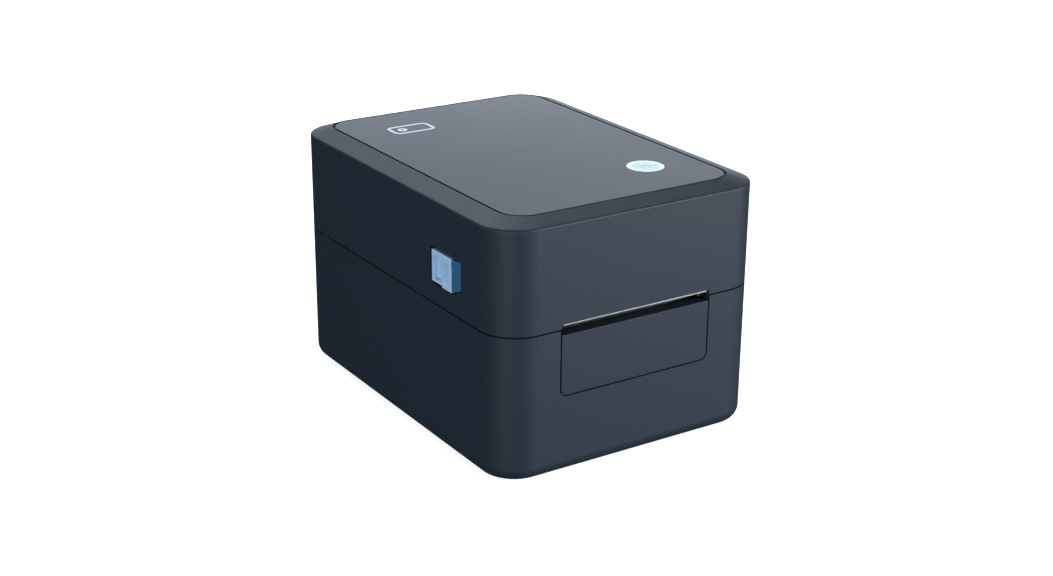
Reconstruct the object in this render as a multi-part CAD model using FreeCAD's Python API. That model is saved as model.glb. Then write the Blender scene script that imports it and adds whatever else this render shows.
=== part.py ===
"""Desktop thermal label printer, built as separate pieces in one frame.

Millimetres, +Z up. The origin is the centre of the footprint, at the soles of the feet.
The front, where labels come out, faces -Y. The lid swings up about a hinge at the rear (+Y).
Each piece is one named node in parts/, and identical fasteners share a node as separate solids.
"""
import FreeCAD, Part
import math
import os
from FreeCAD import Vector

# ---------------------------------------------------------------- driving dimensions
WIDTH, DEPTH, HEIGHT = 202.0, 272.0, 174.0
CORNER_R = 26.0                       # vertical corners of both casings
WALL = 2.5
FOOT_H = 2.0
BOTTOM_R = 9.0                        # rounding under the base
SEAM_Z, SEAM_GAP = 100.7, 1.1         # parting line between base and lid
MEDIA_HALF = 57.5                     # widest label stock is 115 mm

BASE_TOP = SEAM_Z - SEAM_GAP / 2
LID_BOTTOM = SEAM_Z + SEAM_GAP / 2
HX, HY = WIDTH / 2, DEPTH / 2
IN_X, IN_Y, IN_R = HX - WALL, HY - WALL, CORNER_R - WALL
FLOOR_Z = FOOT_H + WALL

# top of the lid: a sloping rim round a flat inset panel
RIM_Z = 169.5
PANEL_X, PANEL_Y, PANEL_R = 84.6, 122.6, 16.8
GROOVE_W, GROOVE_DEPTH = 1.8, 1.8
RIM_EDGE_R = 1.6

# label exit and the pull-off front panel under it
SLOT_TOP, SLOT_BOTTOM = 104.3, 97.0
FRONT_X, FRONT_LOW, FRONT_CORNER_R = 56.9, 56.4, 4.5
FRONT_GROOVE = 1.1
SNAP_X, SNAP_Y, PANEL_LIP_Y = 45.0, -124.5, -127.0
TEAR_LOW, TEAR_TOP, TEAR_TOOTH, TEAR_PITCH = 103.4, 104.2, 0.5, 1.6

# lid hinge, and the round its lower rear edge is turned to
HINGE_R = 7.0
HINGE_Y, HINGE_Z = HY - HINGE_R, LID_BOTTOM + HINGE_R
HINGE_PIN_R, RUNNING = 2.5, 0.05
EAR_X0, EAR_X1, EAR_R = 61.0, 73.0, 6.5

# roll bay: a half cylinder in the tray and the matching dome in the lid
BAY_R, BAY_Y, BAY_Z = 67.0, 40.0, 96.0
BAY_X, TRAY_T = 70.5, 2.0
DECK_TOP, DECK_T = 98.4, 2.5
DECK_LOW = DECK_TOP - DECK_T
LINER_LOW, LINER_TOP = 102.2, 104.2
SENSOR_Y, SENSOR_SLOT = -62.0, 54.0

# platen and drive
PLATEN_Y, PLATEN_Z, PLATEN_R, PLATEN_HALF = -112.0, 92.5, 8.0, 56.0
SHAFT_R = 3.0
FRAME_X, FRAME_T = 63.0, 1.5
GEAR_X, GEAR_T = -73.0, 5.0
DRIVE_MODULE = 0.8
PLATEN_TEETH, IDLER_TEETH, MOTOR_TEETH = 26, 38, 12
IDLER_DIR, MOTOR_DIR = math.radians(-70), math.radians(-20)
IDLER_POST_R = 2.5
MOTOR_HALF, MOTOR_LEN, MOTOR_BOSS_R, MOTOR_SHAFT_R = 17.5, 30.0, 11.0, 2.5
MOTOR_HOLE = 13.0
TIE_RODS = [(-119.0, 52.0), (-74.0, 84.0)]

# roll holders, centred on the roll and geared together under the bay
HOLDER_X, HOLDER_T = 57.8, 4.0
HOLDER_HALF_Y = 7.0
ROD_Y, ROD_Z, ROD_R = (26.0, 54.0), 22.5, 2.0
RACK_MODULE, RACK_TEETH = 1.0, 18
RACK_R = RACK_MODULE * RACK_TEETH / 2
RACK_Z0, RACK_Z1 = 14.5, 18.5
BLOCK_Z0, BLOCK_Z1 = 19.5, 25.5

# print head, hung from a steel frame in the lid
HEAD_HALF = 54.0
HEAD_Z = 100.9
HEAD_PIVOT_Y, HEAD_PIVOT_Z, HEAD_PIVOT_R = -84.0, 112.0, 2.0
HEAD_SPRING_X, HEAD_SPRING_Y = 32.0, -112.0
HEAD_PLATE_Z, HEAD_FRAME_Z = 108.4, 124.0

# side latches on one cross shaft in the lid
LATCH_Y, LATCH_Z, LATCH_SHAFT_R = -70.0, 152.0, 3.0
LEVER_X0, LEVER_X1 = 92.0, 96.0
PAD_REAR, PAD_CREST, PAD_STEP = -53.6, -77.7, -66.0
PAD_TOP, PAD_LOW_REAR, PAD_LOW_FRONT = 137.2, 116.0, 114.8
PAD_PROUD = 0.6
BEVEL_FRONT, BEVEL_REACH, BEVEL_X = -88.0, 5.5, 97.6
BEVEL_RISE, BEVEL_DROP = 4.6, 0.9     # how far the cover's lower and upper edges slope in
STRIKER_Y, STRIKER_Z, STRIKER_R = -66.0, 91.0, 2.5
LATCH_BAY_X, LATCH_BAY_Y0, LATCH_BAY_Y1 = 84.0, -94.0, -50.0

# feed button in the top panel
BUTTON_X, BUTTON_Y, BUTTON_R, RING_IN, RING_OUT = 47.0, -77.0, 9.4, 9.7, 12.5
BUTTON_TOP = HEIGHT - 0.2
BOARD_TOP_Z = 165.1
BUTTON_POSTS = [(BUTTON_X + a * 16, BUTTON_Y + b * 16) for a in (-1, 1) for b in (-1, 1)]

# rear connectors, on a board that stands behind the bay
BOARD_Y, BOARD_T, BOARD_HALF, BOARD_LOW, BOARD_HIGH = 116.0, 1.6, 76.0, 12.0, 74.0
USB_X, DC_X, SWITCH_X, PORT_Z = -14.0, 20.0, 55.0, 32.0
DC_R = 6.5
ROCKER_Y, ROCKER_R, ROCKER_TILT = 128.4, 7.0, 9.0

# bottom plate and casing fasteners
PLATE_X, PLATE_Y, PLATE_LEDGE, PLATE_LEDGE_Z = 64.0, 102.0, 10.0, 3.4
SCREW_HOLE_R, PILOT_R = 1.5, 1.25     # for the large and the small casing screws
TRAY_POSTS = [(-88.0, -112.0), (88.0, -112.0), (-88.0, 108.0), (88.0, 108.0)]
LID_POSTS = [(-84.0, -112.0), (84.0, -112.0), (-88.0, 10.0), (88.0, 10.0),
             (-84.0, 96.0), (84.0, 96.0)]
PLATE_SCREWS = [(-59.0, -97.0), (59.0, -97.0), (-59.0, 97.0), (59.0, 97.0)]
BOARD_SCREWS = [(-70.0, 18.0), (70.0, 18.0), (-70.0, 68.0), (70.0, 68.0)]
FEET = [(-76.0, -108.0), (76.0, -108.0), (-76.0, 108.0), (76.0, 108.0)]
FOOT_R, FOOT_SOCKET = 8.0, 1.2
FRAME_SCREWS = [(-57.0, -90.0), (57.0, -90.0)]
HEAD_FRAME_SCREWS = [(-64.2, -112.0), (64.2, -112.0), (-64.2, -90.0), (64.2, -90.0)]


# ---------------------------------------------------------------- plain solids
def box(x0, x1, y0, y1, z0, z1):
    return Part.makeBox(x1 - x0, y1 - y0, z1 - z0, Vector(x0, y0, z0))


def rod_x(x0, x1, y, z, r):
    return Part.makeCylinder(r, x1 - x0, Vector(x0, y, z), Vector(1, 0, 0))


def rod_y(x, y0, y1, z, r):
    return Part.makeCylinder(r, y1 - y0, Vector(x, y0, z), Vector(0, 1, 0))


def rod_z(x, y, z0, z1, r):
    return Part.makeCylinder(r, z1 - z0, Vector(x, y, z0), Vector(0, 0, 1))


def mirrored(shape):
    return shape.mirror(Vector(0, 0, 0), Vector(1, 0, 0))


def pair(shape):
    """The shape and its mirror image, left and right."""
    return [mirrored(shape), shape]


def fuse(shapes):
    joined = shapes[0].multiFuse(shapes[1:]) if len(shapes) > 1 else shapes[0]
    return joined.removeSplitter()


def rounded_wire(hx, hy, r, z):
    """A rectangle of half sides hx and hy with round corners, flat at height z."""
    edges, ends = [], []
    for turn, (sx, sy) in enumerate([(1, 1), (-1, 1), (-1, -1), (1, -1)]):
        centre = Vector(sx * (hx - r), sy * (hy - r), z)
        start = turn * math.pi / 2
        circle = Part.Circle(centre, Vector(0, 0, 1), r)
        arc = Part.ArcOfCircle(circle, start, start + math.pi / 2)
        edges.append(arc.toShape())
        ends.append((arc.StartPoint, arc.EndPoint))
    loop = []
    for i, edge in enumerate(edges):
        loop.append(edge)
        loop.append(Part.LineSegment(ends[i][1], ends[(i + 1) % 4][0]).toShape())
    return Part.Wire(loop)


def slab(hx, hy, r, z0, z1):
    return Part.Face(rounded_wire(hx, hy, r, z0)).extrude(Vector(0, 0, z1 - z0))


def crowned(hx, hy, r, z0, z_edge, top_x, top_y, top_r, z_top):
    """A slab whose top slopes in from z_edge at its outline to z_top at a smaller outline."""
    crown = Part.makeLoft([rounded_wire(hx, hy, r, z_edge), rounded_wire(top_x, top_y, top_r, z_top)],
                          True, True)
    return fuse([slab(hx, hy, r, z0, z_edge), crown])


def outline_prism(points, thickness):
    """A prism on a closed outline of 3-D points, pushed along the thickness vector."""
    return Part.Face(Part.makePolygon(points + points[:1])).extrude(thickness)


def profile_x(points_yz, x0, x1):
    return outline_prism([Vector(x0, y, z) for y, z in points_yz], Vector(x1 - x0, 0, 0))


def round_edges(shape, radius, chosen):
    edges = [e for e in shape.Edges if chosen(e)]
    return shape.makeFillet(radius, edges)


def along(edge, axis):
    """True for a straight edge that runs along the named axis."""
    if not isinstance(edge.Curve, (Part.Line, Part.LineSegment)):
        return False
    run = edge.Vertexes[-1].Point.sub(edge.Vertexes[0].Point)
    return abs(getattr(run, axis)) > 0.999 * run.Length


def screw(x, y, z, direction, shank_r, length, head_r, head_h):
    """A pan-head screw: the head's seat is at x, y, z and the shank runs along direction."""
    seat = Vector(x, y, z)
    shank = Part.makeCylinder(shank_r, length, seat, direction)
    head = Part.makeCylinder(head_r, head_h, seat - direction * head_h, direction)
    side = Vector(1, 0, 0) if abs(direction.x) < 0.5 else Vector(0, 1, 0)
    across = direction.cross(side)
    slot_l, slot_w, slot_d = head_r * 1.1, head_r * 0.26, head_h * 0.5
    body = fuse([shank, head])
    for long_way, short_way in ((side, across), (across, side)):
        corner = seat - direction * head_h - long_way * (slot_l / 2) - short_way * (slot_w / 2)
        points = [corner, corner + long_way * slot_l,
                  corner + long_way * slot_l + short_way * slot_w, corner + short_way * slot_w]
        body = body.cut(outline_prism(points, direction * slot_d))
    return body


# ---------------------------------------------------------------- gears
PRESSURE = math.radians(20)


def involute(angle):
    return math.tan(angle) - angle


def gear_points(teeth, module, phase, backlash=0.14):
    """Polar outline of a spur gear with a tooth centred at the phase angle."""
    pitch_r = module * teeth / 2
    base_r = pitch_r * math.cos(PRESSURE)
    root_r, tip_r = pitch_r - 1.1 * module, pitch_r + 0.8 * module
    half_at_pitch = math.pi / (2 * teeth) - backlash / (2 * pitch_r)
    flank = []
    for r in (max(base_r, root_r), pitch_r, tip_r):
        flank.append((r, half_at_pitch + involute(PRESSURE) - involute(math.acos(base_r / r))))
    if root_r < base_r:
        flank.insert(0, (root_r, flank[0][1]))
    points = []
    for tooth in range(teeth):
        middle = phase + tooth * 2 * math.pi / teeth
        points += [(r, middle - half) for r, half in flank]
        points += [(r, middle + half) for r, half in reversed(flank)]
    return points


def gear_x(teeth, phase, y, z, x0, x1, bore_r):
    """A spur gear whose axle lies along X."""
    outline = [(y + r * math.cos(a), z + r * math.sin(a))
               for r, a in gear_points(teeth, DRIVE_MODULE, phase)]
    return profile_x(outline, x0, x1).cut(rod_x(x0 - 1, x1 + 1, y, z, bore_r))


def mesh_phase(followed_phase, followed_teeth, teeth, direction):
    """Phase of a gear that meshes with another, whose centre lies back along direction."""
    pitch = 2 * math.pi / followed_teeth
    behind = (direction - followed_phase) % pitch
    return direction + math.pi + behind * followed_teeth / teeth + math.pi / teeth


def polar(y, z, direction, distance):
    return y + distance * math.cos(direction), z + distance * math.sin(direction)


IDLER_Y, IDLER_Z = polar(PLATEN_Y, PLATEN_Z, IDLER_DIR,
                         DRIVE_MODULE * (PLATEN_TEETH + IDLER_TEETH) / 2)
MOTOR_Y, MOTOR_Z = polar(IDLER_Y, IDLER_Z, MOTOR_DIR,
                         DRIVE_MODULE * (IDLER_TEETH + MOTOR_TEETH) / 2)
PLATEN_PHASE = IDLER_DIR
IDLER_PHASE = mesh_phase(PLATEN_PHASE, PLATEN_TEETH, IDLER_TEETH, IDLER_DIR)
MOTOR_PHASE = mesh_phase(IDLER_PHASE, IDLER_TEETH, MOTOR_TEETH, MOTOR_DIR)


# ---------------------------------------------------------------- base casing
def front_opening():
    """Notch in the base's front wall that the front panel fills, open at the label exit."""
    half, low = FRONT_X + FRONT_GROOVE, FRONT_LOW - FRONT_GROOVE
    notch = box(-half, half, -HY - 1, -HY + 6, low, BASE_TOP + 2)
    return round_edges(notch, FRONT_CORNER_R + FRONT_GROOVE,
                       lambda e: along(e, "y") and e.CenterOfMass.z < low + 0.1)


def hinge_ear():
    """Lug on the right of the base's rear wall that carries the lid's hinge pin."""
    lug = fuse([box(EAR_X0, EAR_X1, HINGE_Y - EAR_R, HY - WALL + 0.5, 78, BASE_TOP),
                box(EAR_X0, EAR_X1, HINGE_Y - EAR_R, HINGE_Y + EAR_R, BASE_TOP - 2, HINGE_Z),
                rod_x(EAR_X0, EAR_X1, HINGE_Y, HINGE_Z, EAR_R)])
    gusset = profile_x([(HINGE_Y - EAR_R - 1, 77), (HINGE_Y - EAR_R - 1, 90), (HY - WALL - 1, 77)],
                       EAR_X0 - 1, EAR_X1 + 1)
    return lug.cut(gusset).cut(rod_x(EAR_X0 - 1, EAR_X1 + 1, HINGE_Y, HINGE_Z, HINGE_PIN_R + RUNNING))


def base_shell():
    outer = round_edges(slab(HX, HY, CORNER_R, FOOT_H, BASE_TOP), BOTTOM_R,
                        lambda e: e.BoundBox.ZMax < FOOT_H + 0.01)
    inner = round_edges(slab(IN_X, IN_Y, IN_R, FLOOR_Z, BASE_TOP + 1), BOTTOM_R - WALL,
                        lambda e: e.BoundBox.ZMax < FLOOR_Z + 0.01)
    shell = outer.cut(inner)
    posts = [rod_z(x, y, FLOOR_Z - 1, DECK_LOW, 4.5) for x, y in TRAY_POSTS]
    posts += [rod_z(x, y, PLATE_LEDGE_Z, 14, 4.0) for x, y in PLATE_SCREWS]
    posts += [rod_y(x, BOARD_Y + BOARD_T, IN_Y + 1, z, 3.5) for x, z in BOARD_SCREWS]
    shell = fuse([shell] + posts + pair(hinge_ear()))
    cuts = [front_opening()]
    cuts += [slab(PLATE_X + 0.3, PLATE_Y + 0.3, 8.3, FOOT_H - 1, PLATE_LEDGE_Z),
             slab(PLATE_X - PLATE_LEDGE, PLATE_Y - PLATE_LEDGE, 6, FOOT_H, FLOOR_Z + 1)]
    cuts += [rod_z(x, y, FOOT_H - 1, FOOT_H + FOOT_SOCKET, FOOT_R) for x, y in FEET]
    cuts += [rod_z(x, y, DECK_LOW - 14, DECK_LOW + 1, SCREW_HOLE_R) for x, y in TRAY_POSTS]
    cuts += [rod_z(x, y, FOOT_H, 12, SCREW_HOLE_R) for x, y in PLATE_SCREWS]
    cuts += [rod_y(x, BOARD_Y, BOARD_Y + BOARD_T + 8, z, PILOT_R) for x, z in BOARD_SCREWS]
    cuts += [box(USB_X - 6.4, USB_X + 6.4, IN_Y - 1, HY + 1, PORT_Z - 5.9, PORT_Z + 5.9),
             rod_y(DC_X, IN_Y - 1, HY + 1, PORT_Z, DC_R + 0.4),
             box(SWITCH_X - 11.2, SWITCH_X + 11.2, IN_Y - 1, HY + 1, PORT_Z - 8.2, PORT_Z + 8.2)]
    cuts += [box(x - 1, x + 1, IN_Y - 1, HY + 1, 52, 66) for x in range(-40, 41, 5)]
    for cut in cuts:
        shell = shell.cut(cut)
    return shell


def bottom_plate():
    plate = fuse([slab(PLATE_X, PLATE_Y, 8, FOOT_H, PLATE_LEDGE_Z),
                  slab(PLATE_X - PLATE_LEDGE - 0.3, PLATE_Y - PLATE_LEDGE - 0.3, 5.7, FOOT_H, FLOOR_Z)])
    for x, y in PLATE_SCREWS:
        plate = plate.cut(rod_z(x, y, FOOT_H - 1, FLOOR_Z, SCREW_HOLE_R))
    for row in (-60, 60):
        for i in range(-5, 6):
            plate = plate.cut(box(i * 8 - 1.5, i * 8 + 1.5, row - 14, row + 14, FOOT_H - 1, FLOOR_Z + 1))
    return plate


def rubber_feet():
    feet = []
    for x, y in FEET:
        foot = rod_z(x, y, 0, FOOT_H + FOOT_SOCKET, FOOT_R)
        feet.append(foot.makeChamfer(0.5, [e for e in foot.Edges if e.BoundBox.ZMax < 0.01]))
    return feet


def front_panel():
    """Pull-off panel under the label exit, with two snap arms and a lip for the label to slide on."""
    plate = box(-FRONT_X, FRONT_X, -HY, -IN_Y, FRONT_LOW, SLOT_BOTTOM)
    plate = round_edges(plate, FRONT_CORNER_R,
                        lambda e: along(e, "y") and e.CenterOfMass.z < FRONT_LOW + 0.1)
    lip = box(-FRONT_X + 1, FRONT_X - 1, -IN_Y - 0.5, PANEL_LIP_Y, SLOT_BOTTOM - 2.4, SLOT_BOTTOM)
    lip = round_edges(lip, 1.2, lambda e: along(e, "x") and e.CenterOfMass.z > SLOT_BOTTOM - 0.1
                      and e.CenterOfMass.y > PANEL_LIP_Y - 0.1)
    parts = [plate, lip]
    for side in (-1, 1):
        middle = side * SNAP_X
        parts.append(box(middle - 3, middle + 3, -IN_Y - 0.5, SNAP_Y, 70, 72.5))
        parts.append(profile_x([(SNAP_Y - 4, 72), (SNAP_Y - 4, 74), (SNAP_Y, 72.5), (SNAP_Y, 72)],
                               middle - 3, middle + 3))
    panel = fuse(parts)
    return round_edges(panel, 0.4, lambda e: along(e, "x") and e.Length > 100
                       and abs(e.CenterOfMass.y + HY) < 0.01 and e.CenterOfMass.z > SLOT_BOTTOM - 0.1)


# ---------------------------------------------------------------- media tray
def half_drum(half_x, r, upper):
    """Half of a cylinder along X about the roll's axis: its upper or lower half."""
    drum = rod_x(-half_x, half_x, BAY_Y, BAY_Z, r)
    z0, z1 = (BAY_Z, BAY_Z + r + 1) if upper else (BAY_Z - r - 1, BAY_Z)
    return drum.common(box(-half_x - 1, half_x + 1, BAY_Y - r - 1, BAY_Y + r + 1, z0, z1))


def tray_lip():
    """Upstand behind the seam, left out where the exit, the latches and the hinge are."""
    low, high = DECK_TOP - 1, DECK_TOP + 3.4
    ring = slab(IN_X - 0.7, IN_Y - 0.7, IN_R - 0.7, low, high)
    ring = ring.cut(slab(IN_X - 2.2, IN_Y - 2.2, IN_R - 2.2, low - 1, high + 1))
    ring = ring.cut(box(-HX, HX, 90, HY, low - 1, high + 1))
    ring = ring.cut(box(-MEDIA_HALF - 1, MEDIA_HALF + 1, -HY, -120, low - 1, high + 1))
    for gap in pair(box(80, HX, LATCH_BAY_Y0, LATCH_BAY_Y1, low - 1, high + 1)):
        ring = ring.cut(gap)
    return [solid for solid in ring.Solids]


def media_tray():
    deck = slab(IN_X - 0.5, IN_Y - 0.5, IN_R - 0.5, DECK_LOW, DECK_TOP)
    tray = fuse([deck, half_drum(BAY_X + TRAY_T, BAY_R + TRAY_T, False)] + tray_lip())
    adds = pair(box(BAY_X, BAY_X + 5.5, 20, 60, 17, 34))
    adds += pair(box(LATCH_BAY_X - 3, LATCH_BAY_X, STRIKER_Y - 9, STRIKER_Y + 9, 84, DECK_LOW + 1))
    adds += [box(-62, 62, -132.9, -130.9, 50, 94)]
    adds += pair(box(59.5, 62, -132.9, -126.5, 50, DECK_LOW + 1))
    adds += [rod_z(0, BAY_Y, 19, 28, 5), rod_z(0, BAY_Y, 13.2, 28, 3)]
    tray = fuse([tray] + adds)
    bay = fuse([half_drum(BAY_X, BAY_R, False), box(-BAY_X, BAY_X, BAY_Y - BAY_R, BAY_Y + BAY_R,
                                                    BAY_Z - 0.5, DECK_TOP + 1)])
    cuts = [bay]
    cuts += pair(box(11, BAY_X, BAY_Y - HOLDER_HALF_Y - 2, BAY_Y + HOLDER_HALF_Y + 2, 20, 34))
    cuts += [rod_x(-80, 80, y, ROD_Z, ROD_R) for y in ROD_Y]
    cuts += [box(-80, 80, -126, -98, DECK_LOW - 1, DECK_TOP + 1),
             box(-MEDIA_HALF - 1, MEDIA_HALF + 1, -HY, -126, DECK_LOW - 1, DECK_TOP + 1),
             box(-SENSOR_SLOT, SENSOR_SLOT, SENSOR_Y - 4, SENSOR_Y + 4, DECK_LOW - 1, DECK_TOP + 1)]
    cuts += pair(box(LATCH_BAY_X, HX, LATCH_BAY_Y0, LATCH_BAY_Y1, DECK_LOW - 1, DECK_TOP + 1))
    cuts += pair(box(EAR_X0 - 1, EAR_X1 + 1, HINGE_Y - EAR_R - 1, HY, DECK_LOW - 1, DECK_TOP + 1))
    cuts += pair(rod_x(LATCH_BAY_X - 4, LATCH_BAY_X + 1, STRIKER_Y, STRIKER_Z, STRIKER_R))
    cuts += pair(box(SNAP_X - 4.5, SNAP_X + 4.5, -134, -130, 67.5, 77))
    cuts += [rod_z(x, y, DECK_LOW - 1, DECK_TOP + 1, SCREW_HOLE_R) for x, y in TRAY_POSTS + FRAME_SCREWS]
    for cut in cuts:
        tray = tray.cut(cut)
    return tray.removeSplitter()


def latch_strikers():
    return pair(rod_x(LATCH_BAY_X - 3, IN_X, STRIKER_Y, STRIKER_Z, STRIKER_R))


def sensor_carriage():
    """Label gap sensor on a runner that slides across the deck's slot."""
    body = fuse([box(-5, 5, SENSOR_Y - 6, SENSOR_Y + 6, DECK_TOP + 0.3, DECK_TOP + 1.5),
                 box(-5, 5, SENSOR_Y - 3.7, SENSOR_Y + 3.7, DECK_LOW - 1, DECK_TOP + 1),
                 box(-7, 7, SENSOR_Y - 6, SENSOR_Y + 6, DECK_LOW - 4.3, DECK_LOW - 0.3)])
    return body.cut(rod_z(0, SENSOR_Y, DECK_TOP, DECK_TOP + 2, 1.2))


# ---------------------------------------------------------------- roll holders
def rack(back_y, pitch_y, x0, x1, phase_x):
    """A straight rack along X whose teeth point from back_y towards pitch_y."""
    up = 1 if pitch_y > back_y else -1
    pitch = math.pi * RACK_MODULE
    tip_y, root_y = pitch_y + up * 0.8 * RACK_MODULE, pitch_y - up * 1.1 * RACK_MODULE
    half = pitch / 4 - 0.07
    lean = math.tan(PRESSURE)
    tip_half = half - 0.8 * RACK_MODULE * lean
    root_half = half + 1.1 * RACK_MODULE * lean
    points = [(x0, back_y), (x0, root_y)]
    first = math.ceil((x0 + root_half - phase_x) / pitch - 0.5)
    last = math.floor((x1 - root_half - phase_x) / pitch - 0.5)
    for i in range(first, last + 1):
        middle = phase_x + (i + 0.5) * pitch
        points += [(middle - root_half, root_y), (middle - tip_half, tip_y),
                   (middle + tip_half, tip_y), (middle + root_half, root_y)]
    points += [(x1, root_y), (x1, back_y)]
    return outline_prism([Vector(x, y, RACK_Z0) for x, y in points], Vector(0, 0, RACK_Z1 - RACK_Z0))


def media_holder(side):
    """One roll holder: arm with core hub, runner block on the two rods, and its rack."""
    x_in, x_out = HOLDER_X, HOLDER_X + HOLDER_T
    arm = box(x_in, x_out, BAY_Y - HOLDER_HALF_Y, BAY_Y + HOLDER_HALF_Y, BLOCK_Z1 - 1, BAY_Z)
    disc = rod_x(x_in, x_out, BAY_Y, BAY_Z, 22)
    hub = Part.makeCone(12.2, 10.8, 9, Vector(x_in, BAY_Y, BAY_Z), Vector(-1, 0, 0))
    block = box(x_in, x_in + 12, 20, 60, BLOCK_Z0, BLOCK_Z1)
    toe = box(x_in, x_in + 12, 50, 54, RACK_Z1 - 1, BLOCK_Z0 + 1)
    holder = fuse([arm, disc, hub, block, toe, rack(54, BAY_Y + RACK_R, -8, x_in + 12, 0)])
    for y in ROD_Y:
        holder = holder.cut(rod_x(x_in - 1, x_in + 13, y, ROD_Z, ROD_R + RUNNING))
    holder = holder.cut(rod_x(x_in - 12, x_out + 1, BAY_Y, BAY_Z, 7))
    for i in range(6):
        y, z = polar(BAY_Y, BAY_Z, i * math.pi / 3, 17)
        holder = holder.cut(rod_x(x_in - 1, x_out + 1, y, z, 2.6))
    if side < 0:
        holder = holder.rotate(Vector(0, BAY_Y, 0), Vector(0, 0, 1), 180)
    return holder


def rack_pinion():
    outline = [Vector(r * math.cos(a), BAY_Y + r * math.sin(a), RACK_Z0)
               for r, a in gear_points(RACK_TEETH, RACK_MODULE, -math.pi / 2)]
    wheel = outline_prism(outline, Vector(0, 0, RACK_Z1 - RACK_Z0))
    return wheel.cut(rod_z(0, BAY_Y, RACK_Z0 - 1, RACK_Z1 + 1, 3 + RUNNING))


def pinion_clip():
    return rod_z(0, BAY_Y, 13.2, 14.1, 5.5).cut(rod_z(0, BAY_Y, 13, 15, 3))


# ---------------------------------------------------------------- platen drive
def side_frame(side):
    """Steel plate that carries one end of the platen, with a flange screwed under the deck."""
    outline = [(-125, 44), (-125, 95), (-121, 99.4), (-103, 99.4), (-98.4, DECK_LOW), (-66, DECK_LOW),
               (-66, 40), (-112, 40)]
    plate = profile_x(outline, FRAME_X, FRAME_X + FRAME_T)
    flange = box(50, FRAME_X + 0.5, -97.5, -82, DECK_LOW - FRAME_T, DECK_LOW)
    frame = fuse([plate, flange])
    cuts = [rod_x(60, 68, PLATEN_Y, PLATEN_Z, 5.0), rod_z(57, -90, 90, 100, 1.5)]
    cuts += [rod_x(60, 68, y, z, 2.0) for y, z in TIE_RODS]
    if side < 0:
        cuts += [rod_x(60, 68, MOTOR_Y, MOTOR_Z, MOTOR_BOSS_R),
                 rod_x(60, 68, IDLER_Y, IDLER_Z, IDLER_POST_R)]
        cuts += [rod_x(60, 68, y, z, 1.5) for y, z in motor_holes()]
    else:
        cuts += [rod_x(60, 68, -90, 64, 12), rod_x(60, 68, -112, 70, 6)]
    for cut in cuts:
        frame = frame.cut(cut)
    return mirrored(frame) if side < 0 else frame


def motor_holes():
    return [(MOTOR_Y + a * MOTOR_HOLE, MOTOR_Z + b * MOTOR_HOLE) for a in (-1, 1) for b in (-1, 1)]


def frame_tie_rods():
    rods = []
    for y, z in TIE_RODS:
        rods.append(fuse([rod_x(-FRAME_X, FRAME_X, y, z, 3.0),
                          rod_x(-FRAME_X - 3, FRAME_X + 3, y, z, 2.0)]))
    return rods


def platen_bushings():
    inner = FRAME_X - 1
    bush = fuse([rod_x(inner, FRAME_X, PLATEN_Y, PLATEN_Z, 6.5),
                 rod_x(inner, FRAME_X + 3, PLATEN_Y, PLATEN_Z, 5.0)])
    return pair(bush.cut(rod_x(inner - 1, FRAME_X + 4, PLATEN_Y, PLATEN_Z, SHAFT_R + RUNNING)))


def platen_shaft():
    shaft = fuse([rod_x(GEAR_X - 1.5, FRAME_X + 4.5, PLATEN_Y, PLATEN_Z, SHAFT_R),
                  rod_x(-PLATEN_HALF - 1, PLATEN_HALF + 1, PLATEN_Y, PLATEN_Z, 6.0)])
    return shaft


def platen_rubber():
    roller = rod_x(-PLATEN_HALF, PLATEN_HALF, PLATEN_Y, PLATEN_Z, PLATEN_R)
    return roller.cut(rod_x(-PLATEN_HALF - 1, PLATEN_HALF + 1, PLATEN_Y, PLATEN_Z, 6.0))


def platen_gear():
    return gear_x(PLATEN_TEETH, PLATEN_PHASE, PLATEN_Y, PLATEN_Z, GEAR_X, GEAR_X + GEAR_T, SHAFT_R)


def idler_gear():
    x1 = GEAR_X + GEAR_T
    gear = gear_x(IDLER_TEETH, IDLER_PHASE, IDLER_Y, IDLER_Z, GEAR_X, x1, IDLER_POST_R + RUNNING)
    groove = rod_x(x1 - 1.5, x1 + 1, IDLER_Y, IDLER_Z, 12).cut(rod_x(x1 - 2, x1 + 2, IDLER_Y, IDLER_Z, 5))
    gear = gear.cut(groove)
    for i in range(6):
        y, z = polar(IDLER_Y, IDLER_Z, i * math.pi / 3, 8.5)
        gear = gear.cut(rod_x(GEAR_X - 1, x1 + 1, y, z, 2.4))
    return gear


def idler_post():
    return fuse([rod_x(GEAR_X - 2.5, -FRAME_X, IDLER_Y, IDLER_Z, IDLER_POST_R),
                 rod_x(GEAR_X - 2.5, GEAR_X - 0.5, IDLER_Y, IDLER_Z, 4.2),
                 rod_x(GEAR_X + GEAR_T + 0.5, -FRAME_X - FRAME_T, IDLER_Y, IDLER_Z, 4.2)])


def motor_square(x0, x1, half, chamfer):
    body = box(x0, x1, MOTOR_Y - half, MOTOR_Y + half, MOTOR_Z - half, MOTOR_Z + half)
    return body.makeChamfer(chamfer, [e for e in body.Edges if along(e, "x")])


def motor_end_caps():
    """Cast front flange and rear cap of the motor."""
    x1 = -FRAME_X + MOTOR_LEN
    front = fuse([motor_square(-FRAME_X, -FRAME_X + 7, MOTOR_HALF, 3),
                  rod_x(-FRAME_X - FRAME_T - 0.3, -FRAME_X + 1, MOTOR_Y, MOTOR_Z, MOTOR_BOSS_R)])
    front = front.cut(rod_x(-70, -FRAME_X + 8, MOTOR_Y, MOTOR_Z, MOTOR_SHAFT_R + RUNNING))
    for y, z in motor_holes():
        front = front.cut(rod_x(-FRAME_X - 1, -FRAME_X + 5, y, z, 1.5))
    return [front, motor_square(x1 - 7, x1, MOTOR_HALF, 3)]


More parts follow.
